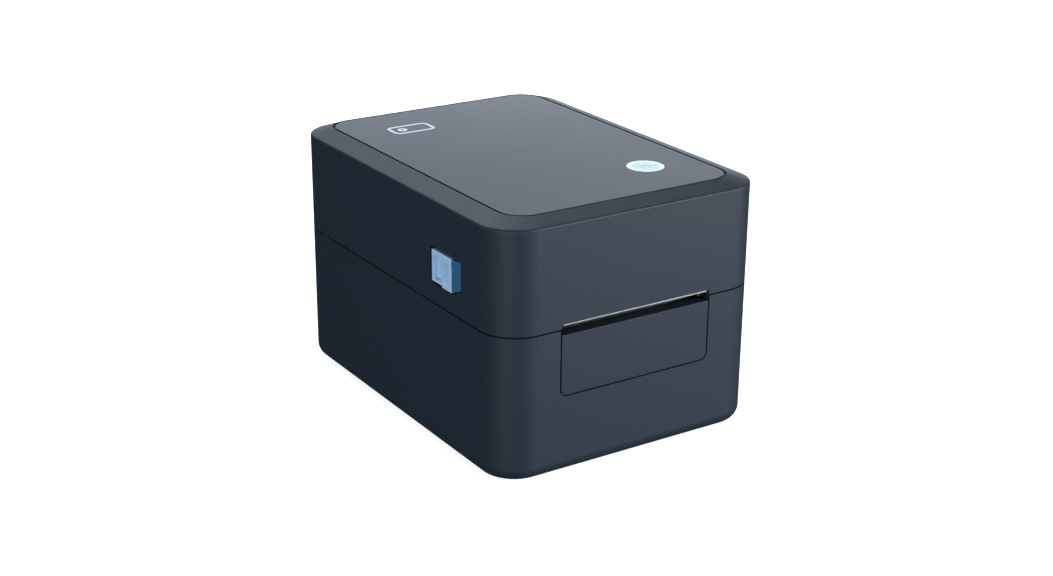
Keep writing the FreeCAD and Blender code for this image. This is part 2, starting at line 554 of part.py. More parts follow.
def motor_stator():
    x1 = -FRAME_X + MOTOR_LEN
    core = motor_square(-FRAME_X + 7, x1 - 7, MOTOR_HALF - 0.6, 4)
    return core.cut(rod_x(-FRAME_X + 6, -FRAME_X + 16, MOTOR_Y, MOTOR_Z, MOTOR_SHAFT_R + 1))


def motor_shaft():
    return rod_x(GEAR_X - 1, -FRAME_X + 14, MOTOR_Y, MOTOR_Z, MOTOR_SHAFT_R)


def motor_pinion():
    return gear_x(MOTOR_TEETH, MOTOR_PHASE, MOTOR_Y, MOTOR_Z, GEAR_X, GEAR_X + GEAR_T + 0.5, MOTOR_SHAFT_R)


def motor_screws():
    seat = -FRAME_X - FRAME_T
    return [screw(seat, y, z, Vector(1, 0, 0), 1.5, 6, 2.6, 1.6) for y, z in motor_holes()]


def motor_cable():
    """Motor lead, clipped along the floor from the motor's rear cap to the main board."""
    x0 = -FRAME_X + MOTOR_LEN
    route = [Vector(x0, -92, 50), Vector(x0 + 8, -92, 50), Vector(x0 + 14, -90, 36),
             Vector(x0 + 14, -80, 18), Vector(x0 + 12, -62, 10), Vector(x0 + 6, -34, 8),
             Vector(x0 - 2, 2, 8), Vector(x0 - 4, 40, 8), Vector(x0 - 8, 74, 9),
             Vector(x0 - 14, 96, 14), Vector(x0 - 16, 108, 20), Vector(x0 - 16, BOARD_Y - 5, 22)]
    return [cable_tube(route, 1.6), box(x0 - 21, x0 - 11, BOARD_Y - 5, BOARD_Y, 19, 25)]


def cable_tube(route, radius):
    """A round tube along straight runs that are joined by tangent arcs."""
    edges, here = [], route[0]
    for i in range(1, len(route) - 1):
        back = (route[i - 1] - route[i])
        ahead = (route[i + 1] - route[i])
        turn = math.pi - back.getAngle(ahead)
        trim = 0.45 * min(back.Length, ahead.Length)
        bend_r = trim / math.tan(turn / 2)
        print("cable bend", i, "radius", round(bend_r, 1))
        start = route[i] + back.normalize() * trim
        end = route[i] + ahead.normalize() * trim
        bisector = (back + ahead).normalize()
        middle = route[i] + bisector * (math.hypot(bend_r, trim) - bend_r)
        edges.append(Part.LineSegment(here, start).toShape())
        edges.append(Part.Arc(start, middle, end).toShape())
        here = end
    edges.append(Part.LineSegment(here, route[-1]).toShape())
    path = Part.Wire(edges)
    first = (route[1] - route[0]).normalize()
    section = Part.Wire([Part.Circle(route[0], first, radius).toShape()])
    tube = path.makePipeShell([section], True, False)
    print("cable volume ratio", round(tube.Volume / (math.pi * radius ** 2 * path.Length), 3))
    return tube


# ---------------------------------------------------------------- main board and rear ports

def main_board():
    board = box(-BOARD_HALF, BOARD_HALF, BOARD_Y, BOARD_Y + BOARD_T, BOARD_LOW, BOARD_HIGH)
    for x, z in BOARD_SCREWS:
        board = board.cut(rod_y(x, BOARD_Y - 1, BOARD_Y + BOARD_T + 1, z, PILOT_R))
    return board


def board_chips():
    """Chips, connectors and coils on the board's front, clear of the bay behind them."""
    y = BOARD_Y
    blocks = [(-18, -4, 3, 40, 54), (8, 18, 2.4, 44, 54), (24, 32, 2.4, 46, 52), (-44, -30, 5, 58, 68),
              (34, 46, 6, 56, 68), (52, 64, 5, 36, 48), (-62, -44, 5, 34, 42), (-62, -50, 3, 50, 60),
              (30, 44, 5, 16, 22), (-26, -10, 5, 16, 22)]
    return [box(x0, x1, y - depth, y, z0, z1) for x0, x1, depth, z0, z1 in blocks]


def board_capacitors():
    face = BOARD_Y + BOARD_T
    places = [(-56, 30), (-44, 30), (-56, 46), (-34, 46)]
    cans = []
    for x, z in places:
        can = rod_y(x, face, face + 11, z, 4.0)
        cans.append(can.makeFillet(0.8, [e for e in can.Edges if e.BoundBox.YMin > face + 10.9]))
    return cans


def board_screws():
    return [screw(x, BOARD_Y, z, Vector(0, 1, 0), 1.25, 7, 2.4, 1.5) for x, z in BOARD_SCREWS]


def usb_port():
    """Square socket with a tongue, its mouth level with the rear wall."""
    y0, y1 = BOARD_Y + BOARD_T, HY - 0.6
    can = box(USB_X - 6, USB_X + 6, y0, y1, PORT_Z - 5.5, PORT_Z + 5.5)
    hollow = box(USB_X - 4.3, USB_X + 4.3, y1 - 9, y1 + 1, PORT_Z - 4, PORT_Z + 4)
    hollow = hollow.makeChamfer(1.6, [e for e in hollow.Edges if along(e, "y")
                                      and e.CenterOfMass.z > PORT_Z])
    tongue = box(USB_X - 2.8, USB_X + 2.8, y1 - 9.5, y1 - 1, PORT_Z - 1.6, PORT_Z + 1.6)
    return can.cut(hollow).fuse(tongue)


def dc_inlet():
    y0, y1 = BOARD_Y + BOARD_T, HY - 0.6
    body = fuse([rod_y(DC_X, y0 + 3, y1, PORT_Z, DC_R),
                 box(DC_X - 6, DC_X + 6, y0, y1 - 5, PORT_Z - 6, PORT_Z + 5)])
    body = body.cut(rod_y(DC_X, y1 - 10, y1 + 1, PORT_Z, 4.0))
    return body.fuse(rod_y(DC_X, y1 - 10.5, y1 - 1, PORT_Z, 1.2))


def power_switch_frame():
    """Snap-in frame of the power switch, with the well that its rocker tilts in."""
    bezel = box(SWITCH_X - 10.8, SWITCH_X + 10.8, IN_Y, HY - 0.4, PORT_Z - 7.8, PORT_Z + 7.8)
    bezel = bezel.makeFillet(1.2, [e for e in bezel.Edges if along(e, "y")])
    body = box(SWITCH_X - 9.5, SWITCH_X + 9.5, BOARD_Y + BOARD_T + 1, IN_Y, PORT_Z - 6.5, PORT_Z + 6.5)
    frame = fuse([bezel, body])
    well = box(SWITCH_X - 8.1, SWITCH_X + 8.1, ROCKER_Y - 7.6, HY + 1, PORT_Z - 5.2, PORT_Z + 5.2)
    pins = [rod_z(SWITCH_X, ROCKER_Y, PORT_Z + s * 5.2 - 1.2, PORT_Z + s * 5.2 + 1.2, 1.4)
            for s in (-1, 1)]
    return fuse([frame.cut(well)] + pins)


def power_rocker():
    """Rocker tilted to its off side; it turns about an upright pin through twice its tilt."""
    r, y = ROCKER_R, ROCKER_Y
    drum = rod_z(SWITCH_X, y, PORT_Z - 4.8, PORT_Z + 4.8, r)
    cap = box(SWITCH_X - 7.2, SWITCH_X + 7.2, y - 0.5, y + 5.4, PORT_Z - 4.8, PORT_Z + 4.8)
    rocker = fuse([drum.common(box(SWITCH_X - 8, SWITCH_X + 8, y - 8, y + 5.4, 0, 60)), cap])
    for side in (-1, 1):
        wedge = [Vector(SWITCH_X, y + 4.6, PORT_Z - 6), Vector(SWITCH_X, y + 9, PORT_Z - 6),
                 Vector(SWITCH_X + side * 9, y + 9, PORT_Z - 6),
                 Vector(SWITCH_X + side * 9, y + 4.6 + 9 * math.tan(math.radians(ROCKER_TILT)) - 1.4,
                        PORT_Z - 6)]
        rocker = rocker.cut(outline_prism(wedge, Vector(0, 0, 12)))
    for s in (-1, 1):
        end = PORT_Z + s * 4.8
        rocker = rocker.cut(rod_z(SWITCH_X, y, end - 1.2, end + 1.2, 1.4 + RUNNING))
    return rocker.rotate(Vector(SWITCH_X, y, 0), Vector(0, 0, 1), -ROCKER_TILT)


# ---------------------------------------------------------------- lid casing
def lid_outer():
    body = crowned(HX, HY, CORNER_R, LID_BOTTOM, RIM_Z, PANEL_X + GROOVE_W, PANEL_Y + GROOVE_W,
                   PANEL_R + GROOVE_W, HEIGHT)
    return round_edges(body, RIM_EDGE_R, lambda e: abs(e.BoundBox.ZMin - RIM_Z) < 0.01
                       and abs(e.BoundBox.ZMax - RIM_Z) < 0.01)


def latch_window():
    """Opening round the right latch pad, thinned ahead of it, where its bevelled cover slides in."""
    front, rear, top = BEVEL_FRONT - 0.4, PAD_REAR + 3.0, PAD_TOP + 1.6
    low_front, low_rear = PAD_LOW_FRONT - 0.9, PAD_LOW_REAR - 1.7
    slope = BEVEL_RISE / (PAD_CREST - BEVEL_FRONT)
    outline = [(front, top), (rear, top), (rear, low_rear), (PAD_STEP + 1, low_rear),
               (PAD_STEP + 1, low_front), (PAD_CREST - 0.4, low_front),
               (front, low_front + (PAD_CREST - 0.4 - front) * slope)]
    window = profile_x(outline, IN_X - 1, HX + 1)
    window = round_edges(window, 1.6, lambda e: along(e, "x")
                         and (e.CenterOfMass.z > top - 0.1 or e.CenterOfMass.y > rear - 0.1))
    pocket = box(IN_X - 1, IN_X + 1.1, BEVEL_FRONT - 9, BEVEL_FRONT + 1, PAD_LOW_FRONT - 3, PAD_TOP + 4)
    return fuse([window, pocket])


def lid_shell():
    outer = lid_outer()
    inner = crowned(IN_X, IN_Y, IN_R, LID_BOTTOM - 1, 167, 84, 121.5, 17, 170.6)
    bar = box(-95, 95, HINGE_Y - HINGE_R, HY, LID_BOTTOM, LID_BOTTOM + 14).common(outer)
    bosses = [rod_z(x, y, LINER_TOP, 171, 4.0) for x, y in LID_POSTS]
    bearings = pair(box(79, 84, LATCH_Y - 7, LATCH_Y + 7, LATCH_Z - 7, 171.2))
    shell = fuse([outer.cut(inner), bar] + bosses + bearings)
    ledge_z = HEIGHT - GROOVE_DEPTH
    edge = box(-HX - 1, HX + 1, HINGE_Y, HY + 1, LID_BOTTOM - 1, HINGE_Z)
    cuts = [slab(PANEL_X + GROOVE_W, PANEL_Y + GROOVE_W, PANEL_R + GROOVE_W, ledge_z, HEIGHT + 1),
            slab(78, 116, 12, 165, ledge_z + 1),
            edge.cut(rod_x(-HX - 1, HX + 1, HINGE_Y, HINGE_Z, HINGE_R)),
            label_exit()]
    cuts += pair(box(EAR_X0 - 0.6, EAR_X1 + 0.6, HINGE_Y - EAR_R - 0.8, HY + 1, LID_BOTTOM - 1,
                     HINGE_Z + EAR_R + 0.8))
    cuts += pair(rod_x(52.5, 81.5, HINGE_Y, HINGE_Z, HINGE_PIN_R))
    cuts += pair(rod_x(78, 85, LATCH_Y, LATCH_Z, LATCH_SHAFT_R + RUNNING))
    cuts += pair(latch_window())
    cuts += [rod_z(x, y, LINER_TOP - 1, LINER_TOP + 12, PILOT_R) for x, y in LID_POSTS]
    for cut in cuts:
        shell = shell.cut(cut)
    return shell


def label_exit():
    notch = box(-MEDIA_HALF, MEDIA_HALF, -HY - 1, -IN_Y + 1, LID_BOTTOM - 2, SLOT_TOP)
    return round_edges(notch, 1.2, lambda e: along(e, "y") and e.CenterOfMass.z > SLOT_TOP - 0.1)


def lid_top_panel():
    """Flat panel in the top of the lid, with a locating rib and the hole for the feed button."""
    low = HEIGHT - GROOVE_DEPTH
    panel = slab(PANEL_X, PANEL_Y, PANEL_R, low, HEIGHT - 0.05)
    rib = slab(77.6, 115.6, 11.6, low - 2, low).cut(slab(76, 114, 10, low - 3, low + 1))
    posts = [rod_z(x, y, BOARD_TOP_Z, low + 0.5, 2.5) for x, y in BUTTON_POSTS]
    panel = fuse([panel, rib] + posts)
    panel = panel.cut(rod_z(BUTTON_X, BUTTON_Y, low - 1, HEIGHT + 1, RING_OUT))
    for x, y in BUTTON_POSTS:
        panel = panel.cut(rod_z(x, y, BOARD_TOP_Z - 1, BOARD_TOP_Z + 5, 1.0))
    return panel


def light_ring():
    low = HEIGHT - GROOVE_DEPTH
    ring = fuse([rod_z(BUTTON_X, BUTTON_Y, low - 1.8, HEIGHT - 0.05, RING_OUT),
                 rod_z(BUTTON_X, BUTTON_Y, low - 1.4, low, RING_OUT + 2)])
    return ring.cut(rod_z(BUTTON_X, BUTTON_Y, low - 3, HEIGHT + 1, RING_IN))


def feed_button():
    low = HEIGHT - GROOVE_DEPTH
    cap = rod_z(BUTTON_X, BUTTON_Y, low - 3.4, BUTTON_TOP, BUTTON_R)
    cap = cap.makeFillet(0.5, [e for e in cap.Edges if e.BoundBox.ZMin > BUTTON_TOP - 0.01])
    dish_r = 60.0
    dish = Part.makeSphere(dish_r, Vector(BUTTON_X, BUTTON_Y, BUTTON_TOP + dish_r - 0.35))
    return fuse([cap.cut(dish), rod_z(BUTTON_X, BUTTON_Y, low - 3.4, low - 2.3, BUTTON_R + 1.8),
                 rod_z(BUTTON_X, BUTTON_Y, low - 4.0, low - 3, 2)])


def button_board():
    board = box(BUTTON_X - 19, BUTTON_X + 19, BUTTON_Y - 19, BUTTON_Y + 19, BOARD_TOP_Z - 1.6, BOARD_TOP_Z)
    for x, y in BUTTON_POSTS:
        board = board.cut(rod_z(x, y, BOARD_TOP_Z - 2, BOARD_TOP_Z + 1, 1.0))
    return board


def button_switch():
    return fuse([box(BUTTON_X - 3, BUTTON_X + 3, BUTTON_Y - 3, BUTTON_Y + 3, BOARD_TOP_Z, BOARD_TOP_Z + 1.6),
                 rod_z(BUTTON_X, BUTTON_Y, BOARD_TOP_Z, BOARD_TOP_Z + 1.9, 1.7)])


def status_leds():
    lamps = []
    for i in range(8):
        x, y = polar(BUTTON_X, BUTTON_Y, i * math.pi / 4, 11.1)
        lamps.append(box(x - 0.9, x + 0.9, y - 0.9, y + 0.9, BOARD_TOP_Z, BOARD_TOP_Z + 1.0))
    return lamps


def button_screws():
    return [screw(x, y, BOARD_TOP_Z - 1.6, Vector(0, 0, 1), 1.0, 5, 1.9, 1.2) for x, y in BUTTON_POSTS]


def hinge_pins():
    return pair(rod_x(53, 81, HINGE_Y, HINGE_Z, HINGE_PIN_R))


def lid_liner():
    """Inner skin of the lid: a rim plate round a dome over the roll."""
    rim = slab(IN_X - 0.8, IN_Y - 0.8, IN_R - 0.8, LINER_LOW, LINER_TOP)
    rim = rim.cut(box(-HX, HX, 121, HY, LINER_LOW - 1, LINER_TOP + 1))
    above = box(-HX, HX, -HY, HY, LINER_LOW, HEIGHT)
    dome = rod_x(-BAY_X - TRAY_T, BAY_X + TRAY_T, BAY_Y, BAY_Z, BAY_R + 1).common(above)
    liner = fuse([rim, dome])
    cuts = [rod_x(-BAY_X, BAY_X, BAY_Y, BAY_Z, BAY_R - 1),
            box(-59.5, 59.5, -126, -79, LINER_LOW - 1, LINER_TOP + 1),
            box(-10.3, 10.3, SENSOR_Y - 4.3, SENSOR_Y + 4.3, LINER_LOW - 1, LINER_TOP + 1),
            box(-58, 58, -HY, -131.7, LINER_LOW - 1, LINER_TOP + 1),
            box(-74.5, -67.6, -125, -99, LINER_LOW - 1, LINER_TOP + 1)]
    cuts += pair(box(LATCH_BAY_X, HX, LATCH_BAY_Y0, LATCH_BAY_Y1, LINER_LOW - 1, LINER_TOP + 1))
    cuts += [rod_z(x, y, LINER_LOW - 1, LINER_TOP + 1, PILOT_R) for x, y in LID_POSTS + HEAD_FRAME_SCREWS]
    for cut in cuts:
        liner = liner.cut(cut)
    return liner


def lid_screws():
    """Screws that hold the liner to the lid and the head's frame to the liner."""
    seat = LINER_TOP + FRAME_T
    screws = [screw(x, y, LINER_LOW, Vector(0, 0, 1), 1.25, 12, 2.4, 1.3) for x, y in LID_POSTS]
    screws += [screw(x, y, seat, Vector(0, 0, -1), 1.25, 3.4, 2.2, 1.3) for x, y in HEAD_FRAME_SCREWS]
    return screws


def base_screws():
    """Screws that hold the tray, the bottom plate and the two side frames."""
    down, up = Vector(0, 0, -1), Vector(0, 0, 1)
    screws = [screw(x, y, DECK_TOP, down, 1.5, 12, 2.8, 1.8) for x, y in TRAY_POSTS]
    screws += [screw(x, y, FOOT_H, up, 1.5, 9, 2.8, 1.2) for x, y in PLATE_SCREWS]
    screws += [screw(x, y, DECK_TOP, down, 1.5, 5.5, 2.6, 1.0) for x, y in FRAME_SCREWS]
    return screws


def tear_bar():
    """Steel strip under the top edge of the label exit, toothed below, with a leg behind the wall."""
    half, thick = MEDIA_HALF - 1.9, 0.6
    face_y, leg_y = -HY + 0.5, -IN_Y + 1.2
    count = int(2 * half / TEAR_PITCH)
    pitch = 2 * half / count
    outline = [Vector(half, face_y, TEAR_TOP), Vector(-half, face_y, TEAR_TOP),
               Vector(-half, face_y, TEAR_LOW)]
    for i in range(count):
        left = -half + i * pitch
        outline += [Vector(left + pitch / 2, face_y, TEAR_LOW - TEAR_TOOTH),
                    Vector(left + pitch, face_y, TEAR_LOW)]
    return fuse([outline_prism(outline, Vector(0, thick, 0)),
                 box(-half, half, face_y, leg_y, TEAR_TOP - thick, TEAR_TOP),
                 box(-half, half, -IN_Y, leg_y, TEAR_TOP - thick, 112)])


def gap_sensor():
    return box(-10, 10, SENSOR_Y - 4, SENSOR_Y + 4, 101.3, 107)


# ---------------------------------------------------------------- print head
def head_frame():
    """Steel bridge screwed to the liner, which carries the head's pivot and its springs."""
    top = box(-61.5, 61.5, -121, -90, HEAD_FRAME_Z, HEAD_FRAME_Z + 1.5)
    cheeks = pair(box(60, 61.5, -121, -79, LINER_TOP, HEAD_FRAME_Z + 1.5))
    flanges = pair(box(61, 69, -118, -84, LINER_TOP, LINER_TOP + 1.5))
    frame = fuse([top] + cheeks + flanges)
    cuts = [rod_x(-65, 65, HEAD_PIVOT_Y, HEAD_PIVOT_Z, HEAD_PIVOT_R + RUNNING),
            box(-22, 22, -112, -99, HEAD_FRAME_Z - 1, HEAD_FRAME_Z + 3)]
    cuts += pair(profile_x([(-92, 126.5), (-78, 126.5), (-78, 117)], 59, 63))
    cuts += [rod_z(x, y, LINER_TOP - 1, LINER_TOP + 3, PILOT_R) for x, y in HEAD_FRAME_SCREWS]
    for cut in cuts:
        frame = frame.cut(cut)
    return frame


def head_strip():
    """Ceramic strip with the heater line that presses the label on the platen."""
    return box(-HEAD_HALF, HEAD_HALF, -121, -104, HEAD_Z, HEAD_Z + 1)


def head_heatsink():
    low, high = HEAD_Z + 1, HEAD_PLATE_Z - 1.5
    sink = box(-HEAD_HALF, HEAD_HALF, -121, -93, low, high)
    for i in range(4):
        y = -117.5 + i * 6.5
        sink = sink.cut(box(-HEAD_HALF - 1, HEAD_HALF + 1, y, y + 3, high - 2.5, high + 1))
    return sink


def head_connector():
    shell = box(-18, 18, -93, -86.5, HEAD_Z, HEAD_PLATE_Z - 1.5)
    return shell.cut(box(-16.5, 16.5, -90, -85, HEAD_Z + 1.2, HEAD_PLATE_Z - 2.7))


def head_bracket():
    low = HEAD_PLATE_Z - 1.5
    plate = box(-58.5, 58.5, -122, -82, low, HEAD_PLATE_Z)
    ears = pair(box(57, 58.5, -90, -79, low, HEAD_PIVOT_Z + 4))
    bracket = fuse([plate] + ears)
    bracket = bracket.cut(rod_x(-60, 60, HEAD_PIVOT_Y, HEAD_PIVOT_Z, HEAD_PIVOT_R))
    for x in (-14, 14):
        bracket = bracket.cut(box(x - 8, x + 8, -104, -98, low - 1, HEAD_PLATE_Z + 1))
    return bracket


def head_pivot():
    return rod_x(-62.5, 62.5, HEAD_PIVOT_Y, HEAD_PIVOT_Z, HEAD_PIVOT_R)


def coil(radius, wire_r, pitch, turns, base, axis):
    """A helical spring with its axis along the given unit vector."""
    helix = Part.makeHelix(pitch, pitch * turns, radius)
    section = Part.Wire([Part.Circle(Vector(radius, 0, 0), Vector(0, 1, 0), wire_r).toShape()])
    spring = Part.Wire(helix.Edges).makePipeShell([section], True, True)
    if axis.x:
        spring = spring.rotate(Vector(0, 0, 0), Vector(0, 1, 0), 90)
    return spring.translate(base)


def head_springs():
    wire_r, turns = 0.5, 5
    length = HEAD_FRAME_Z - HEAD_PLATE_Z
    pitch = (length - 2 * wire_r) / turns
    springs = []
    for side in (-1, 1):
        base = Vector(side * HEAD_SPRING_X, HEAD_SPRING_Y, HEAD_PLATE_Z + wire_r)
        springs.append(coil(4.0, wire_r, pitch, turns, base, Vector(0, 0, 1)))
    return springs


# ---------------------------------------------------------------- latches
def latch_pad():
    """Right finger pad: a dished face whose floor rises forward to a crest, in two depths below."""
    x0, x1 = LEVER_X1, HX + PAD_PROUD
    pad = fuse([box(x0, x1, PAD_CREST, PAD_REAR, PAD_LOW_REAR, PAD_TOP),
                box(x0, x1, PAD_CREST, PAD_STEP, PAD_LOW_FRONT, PAD_LOW_REAR + 1)])
    pad = pad.makeFillet(0.5, [e for e in pad.Edges if e.BoundBox.XMin > x1 - 0.01])
    deep, shallow, low, high = 3.8, 0.1, PAD_LOW_REAR + 2.4, PAD_TOP - 3.2
    rear, crest = PAD_REAR - 2.6, PAD_CREST + 4.0
    dish = outline_prism([Vector(x1 - deep, rear, low), Vector(x1 + 1, rear, low),
                          Vector(x1 + 1, crest, low), Vector(x1 - shallow, crest, low)],
                         Vector(0, 0, high - low))
    return pad.cut(round_edges(dish, 1.4, lambda e: e.Length > 15 and e.BoundBox.XMin < x1 - 0.5
                               and not along(e, "z")))


def latch_lever():
    """Right lever: hub on the shaft, arm, bevelled cover ahead of the pad, and the hook."""
    x0, x1, front = LEVER_X0, LEVER_X1, BEVEL_FRONT - BEVEL_REACH
    hub = rod_x(x0 - 4, x1, LATCH_Y, LATCH_Z, 6.5)
    arm = box(x0, x1, LATCH_Y - 5, LATCH_Y + 5, PAD_LOW_FRONT, LATCH_Z)
    web = profile_x([(PAD_REAR - 1, PAD_LOW_REAR + 0.5), (PAD_REAR - 1, PAD_TOP - 0.5),
                     (front, PAD_TOP - 1.2), (front, PAD_LOW_FRONT + 5.5),
                     (PAD_CREST - 1, PAD_LOW_FRONT), (PAD_STEP, PAD_LOW_FRONT + 0.5)], x0, x1)
    crest_x = HX + PAD_PROUD - 0.3
    plan = [(x1 - 1, PAD_CREST), (crest_x, PAD_CREST), (BEVEL_X, BEVEL_FRONT + 0.4), (BEVEL_X, front),
            (x1 - 1, front)]
    cover = outline_prism([Vector(x, y, PAD_LOW_FRONT) for x, y in plan],
                          Vector(0, 0, PAD_TOP - PAD_LOW_FRONT))
    low_corner = profile_x([(PAD_CREST, PAD_LOW_FRONT - 1), (PAD_CREST, PAD_LOW_FRONT),
                            (BEVEL_FRONT, PAD_LOW_FRONT + BEVEL_RISE),
                            (BEVEL_FRONT - 8, PAD_LOW_FRONT + BEVEL_RISE + 1.4),
                            (BEVEL_FRONT - 8, PAD_LOW_FRONT - 1)], x1 - 2, crest_x + 1)
    top_corner = profile_x([(PAD_CREST, PAD_TOP), (BEVEL_FRONT, PAD_TOP - BEVEL_DROP),
                            (BEVEL_FRONT - 8, PAD_TOP - BEVEL_DROP),
                            (BEVEL_FRONT - 8, PAD_TOP + 1), (PAD_CREST, PAD_TOP + 1)], x1 - 2, crest_x + 1)
    hook = profile_x([(-79, PAD_LOW_FRONT + 2), (-79, 86), (-77, 84), (-72.6, 84), (-68.9, 87),
                      (-68.9, 88), (-73.4, 88.6), (-73.4, 94), (-71.5, 96.5),
                      (-71.5, PAD_LOW_FRONT + 2)], x0, x1)
    lever = fuse([hub, arm, web, cover.cut(low_corner).cut(top_corner), hook])
    return lever.cut(rod_x(x0 - 5, x1 + 1, LATCH_Y, LATCH_Z, LATCH_SHAFT_R))


def latch_shaft():
    return rod_x(-LEVER_X1 + 0.5, LEVER_X1 - 0.5, LATCH_Y, LATCH_Z, LATCH_SHAFT_R)


def latch_spring():
    """Torsion spring round the latch shaft, beside the right bearing."""
    wire_r, pitch, turns = 0.45, 1.5, 4
    return coil(4.0, wire_r, pitch, turns, Vector(72, LATCH_Y, LATCH_Z), Vector(1, 0, 0))


# ---------------------------------------------------------------- the parts
def single(shape):
    return [shape]


NODES = {
    "base_shell": lambda: single(base_shell()),
    "bottom_plate": lambda: single(bottom_plate()),
    "rubber_feet": rubber_feet,
    "front_panel": lambda: single(front_panel()),
    "media_tray": lambda: single(media_tray()),
    "latch_strikers": latch_strikers,
    "sensor_carriage": lambda: single(sensor_carriage()),
    "holder_rods": lambda: [rod_x(-BAY_X - 5.5, BAY_X + 5.5, y, ROD_Z, ROD_R) for y in ROD_Y],
    "media_holder_left": lambda: single(media_holder(-1)),
    "media_holder_right": lambda: single(media_holder(1)),
    "rack_pinion": lambda: single(rack_pinion()),
    "pinion_clip": lambda: single(pinion_clip()),
    "side_frame_left": lambda: single(side_frame(-1)),
    "side_frame_right": lambda: single(side_frame(1)),
    "frame_tie_rods": frame_tie_rods,
    "platen_bushings": platen_bushings,
    "platen_shaft": lambda: single(platen_shaft()),
    "platen_rubber": lambda: single(platen_rubber()),
    "platen_gear": lambda: single(platen_gear()),
    "idler_gear": lambda: single(idler_gear()),
    "idler_post": lambda: single(idler_post()),
    "motor_end_caps": motor_end_caps,
    "motor_stator": lambda: single(motor_stator()),
    "motor_shaft": lambda: single(motor_shaft()),
    "motor_pinion": lambda: single(motor_pinion()),
    "motor_screws": motor_screws,
    "motor_cable": motor_cable,
    "main_board": lambda: single(main_board()),
    "board_chips": board_chips,
    "board_capacitors": board_capacitors,
    "board_screws": board_screws,
    "usb_port": lambda: single(usb_port()),
    "dc_inlet": lambda: single(dc_inlet()),
    "power_switch_frame": lambda: single(power_switch_frame()),
    "power_rocker": lambda: single(power_rocker()),
    "base_screws": base_screws,
    "lid_shell": lambda: single(lid_shell()),
    "lid_top_panel": lambda: single(lid_top_panel()),
    "light_ring": lambda: single(light_ring()),
    "feed_button": lambda: single(feed_button()),
    "button_board": lambda: single(button_board()),
    "button_switch": lambda: single(button_switch()),
    "status_leds": status_leds,
    "button_screws": button_screws,
    "hinge_pins": hinge_pins,
    "lid_liner": lambda: single(lid_liner()),
    "lid_screws": lid_screws,
    "tear_bar": lambda: single(tear_bar()),
    "gap_sensor": lambda: single(gap_sensor()),
    "head_frame": lambda: single(head_frame()),
    "head_bracket": lambda: single(head_bracket()),
    "head_heatsink": lambda: single(head_heatsink()),
    "head_strip": lambda: single(head_strip()),
    "head_connector": lambda: single(head_connector()),
    "head_pivot": lambda: single(head_pivot()),
    "head_springs": head_springs,
    "latch_levers": lambda: pair(latch_lever()),
    "latch_pads": lambda: pair(latch_pad()),
    "latch_shaft": lambda: single(latch_shaft()),
    "latch_spring": lambda: single(latch_spring()),
}


def save(node, shapes):
    solids = [solid for shape in shapes for solid in shape.Solids]
    if len(solids) != len(shapes):
        print("PIECES", node, len(shapes), "shapes but", len(solids), "solids")
    for solid in solids:
        if not solid.isValid() or solid.Volume <= 0:
            print("INVALID", node)
    shape = solids[0] if len(solids) == 1 else Part.makeCompound(solids)
    shape.exportStep("parts/" + node + ".step")
    return shape


def main():
    os.makedirs("parts", exist_ok=True)
    low, high = [1e9] * 3, [-1e9] * 3
    for node, make in NODES.items():
        bounds = save(node, make()).BoundBox
        low = [min(a, b) for a, b in zip(low, (bounds.XMin, bounds.YMin, bounds.ZMin))]
        high = [max(a, b) for a, b in zip(high, (bounds.XMax, bounds.YMax, bounds.ZMax))]
    print(len(NODES), "nodes; overall box", [round(v, 2) for v in low], [round(v, 2) for v in high])


main()
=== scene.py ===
"""Looks of a desktop thermal label printer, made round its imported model. Metres, +Z up."""
import math
import bmesh
import bpy
from mathutils import Matrix, Vector


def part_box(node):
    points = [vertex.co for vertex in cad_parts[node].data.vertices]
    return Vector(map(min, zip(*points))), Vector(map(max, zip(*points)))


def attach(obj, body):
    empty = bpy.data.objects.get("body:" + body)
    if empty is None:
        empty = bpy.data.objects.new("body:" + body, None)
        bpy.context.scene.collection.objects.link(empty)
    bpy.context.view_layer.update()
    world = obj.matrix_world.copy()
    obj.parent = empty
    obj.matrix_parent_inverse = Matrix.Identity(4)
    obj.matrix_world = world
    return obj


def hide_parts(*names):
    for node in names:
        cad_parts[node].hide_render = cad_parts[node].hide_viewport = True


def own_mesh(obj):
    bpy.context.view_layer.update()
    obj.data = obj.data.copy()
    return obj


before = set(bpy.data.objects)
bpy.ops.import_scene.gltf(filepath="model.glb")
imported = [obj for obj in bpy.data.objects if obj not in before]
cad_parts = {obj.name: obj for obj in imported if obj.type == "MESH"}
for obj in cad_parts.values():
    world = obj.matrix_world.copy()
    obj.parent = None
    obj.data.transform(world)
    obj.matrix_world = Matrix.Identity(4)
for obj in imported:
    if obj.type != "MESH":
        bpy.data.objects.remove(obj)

MM = 0.001
FULL_TURN = 2 * math.pi
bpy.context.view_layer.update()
scene = bpy.context.scene
scene.view_settings.view_transform = "Standard"


# ---------------------------------------------------------------- camera, floor and light
AIM = Vector((0.7, -6.6, 74.7)) * MM
VIEW_AZIMUTH, VIEW_ELEVATION, VIEW_ROLL = -33.06, 20.97, 0.5
VIEW_DISTANCE = 1.2038
LENS_MM, SENSOR_MM = 59.29, 36.0
CLIP_NEAR, CLIP_FAR = 0.01, 50

FLOOR_RADIUS, FLOOR_RINGS = 2.6, 6
WALL_RISE, WALL_RINGS, WALL_SECTORS = 2.4, 24, 96

WORLD_COLOUR, WORLD_STRENGTH = (0.62, 0.84, 1.12), 0.072
REAR_TINT = (0.87, 0.95, 1.05)
FRONT_TINT = (0.93, 0.98, 1.02)
SIDE_TINT = (0.88, 0.97, 1.05)


def turned_view(azimuth, elevation, roll):
    """Rotation of something that looks at the object from an azimuth and an elevation, in degrees."""
    return (Matrix.Rotation(math.radians(azimuth), 4, "Z")
            @ Matrix.Rotation(math.radians(90 - elevation), 4, "X")
            @ Matrix.Rotation(math.radians(roll), 4, "Z"))


